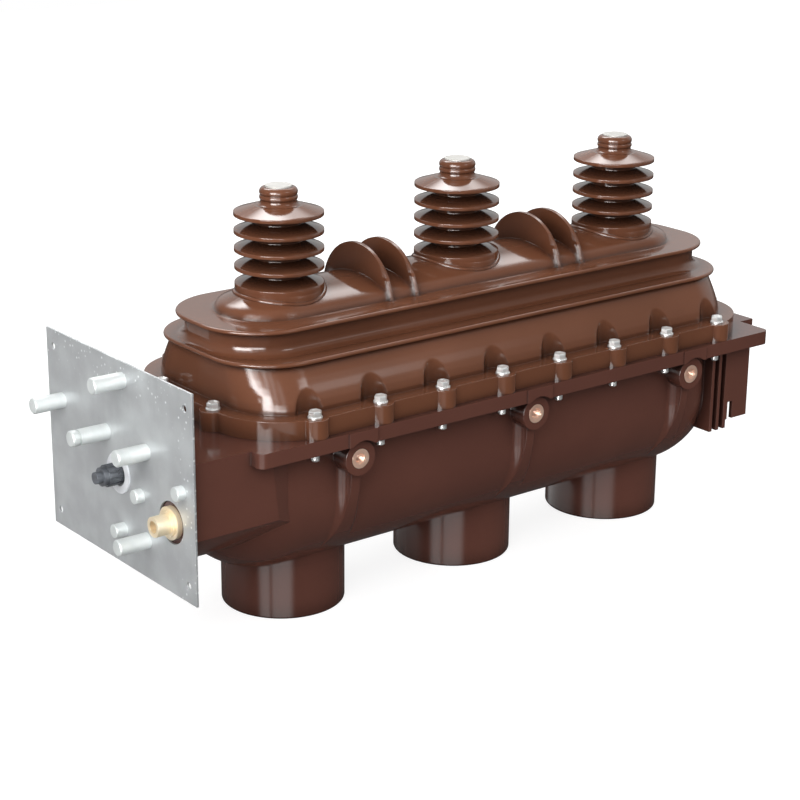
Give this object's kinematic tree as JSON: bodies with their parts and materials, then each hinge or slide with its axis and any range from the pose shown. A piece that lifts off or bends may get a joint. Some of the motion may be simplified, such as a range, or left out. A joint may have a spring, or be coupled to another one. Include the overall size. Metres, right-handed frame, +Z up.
{
  "type": "gas insulated load break switch",
  "caption": "Long brown epoxy switch housing with shedded bushings on top, round shrouds below and a zinc drive plate with posts and a turning drive shaft at one end.",
  "frame": {"origin": "on the middle phase axis, in the plane of the shroud mouths", "axes": "+X along the row of phases away from the drive plate, -Y to the front, +Z up along the bushings"},
  "size_m": [0.762, 0.261, 0.4037],
  "materials": {
    "epoxy_upper": "glossy reddish brown cast epoxy",
    "epoxy_lower": "semi-gloss dark reddish brown cast epoxy",
    "silver": "bright silver plating",
    "insert_brass": "turned brass",
    "zinc_plate": "zinc plated sheet",
    "zinc_post": "bright zinc plating",
    "black_steel": "blackened steel",
    "white_nylon": "satin white nylon",
    "valve_brass": "bright turned brass"
  },
  "bodies": {
    "housing": {"upper_housing": "epoxy_upper", "left_bushing": "epoxy_upper", "middle_bushing": "epoxy_upper", "right_bushing": "epoxy_upper", "left_top_terminal": "silver", "middle_top_terminal": "silver", "right_top_terminal": "silver", "lower_housing": "epoxy_lower", "left_shroud": "epoxy_lower", "middle_shroud": "epoxy_lower", "right_shroud": "epoxy_lower", "left_bottom_terminal": "silver", "middle_bottom_terminal": "silver", "right_bottom_terminal": "silver", "left_front_insert": "insert_brass", "middle_front_insert": "insert_brass", "right_front_insert": "insert_brass", "left_back_insert": "insert_brass", "middle_back_insert": "insert_brass", "right_back_insert": "insert_brass", "drive_plate": "zinc_plate", "back_post": "zinc_post", "top_post": "zinc_post", "grooved_post": "zinc_post", "front_post": "zinc_post", "low_post": "zinc_post", "inner_stud": "zinc_post", "edge_stud": "zinc_post", "low_stud": "zinc_post", "shaft_bush": "white_nylon", "gas_valve": "valve_brass"},
    "drive_shaft": {"drive_shaft": "black_steel"}
  },
  "joints": [
    {"name": "drive_shaft_turn", "type": "hinge", "parent": "housing", "child": "drive_shaft", "pos_m": [-0.387, 0, 0.1645], "axis": [1, 0, 0], "range_deg": [-50, 50]}
  ]
}
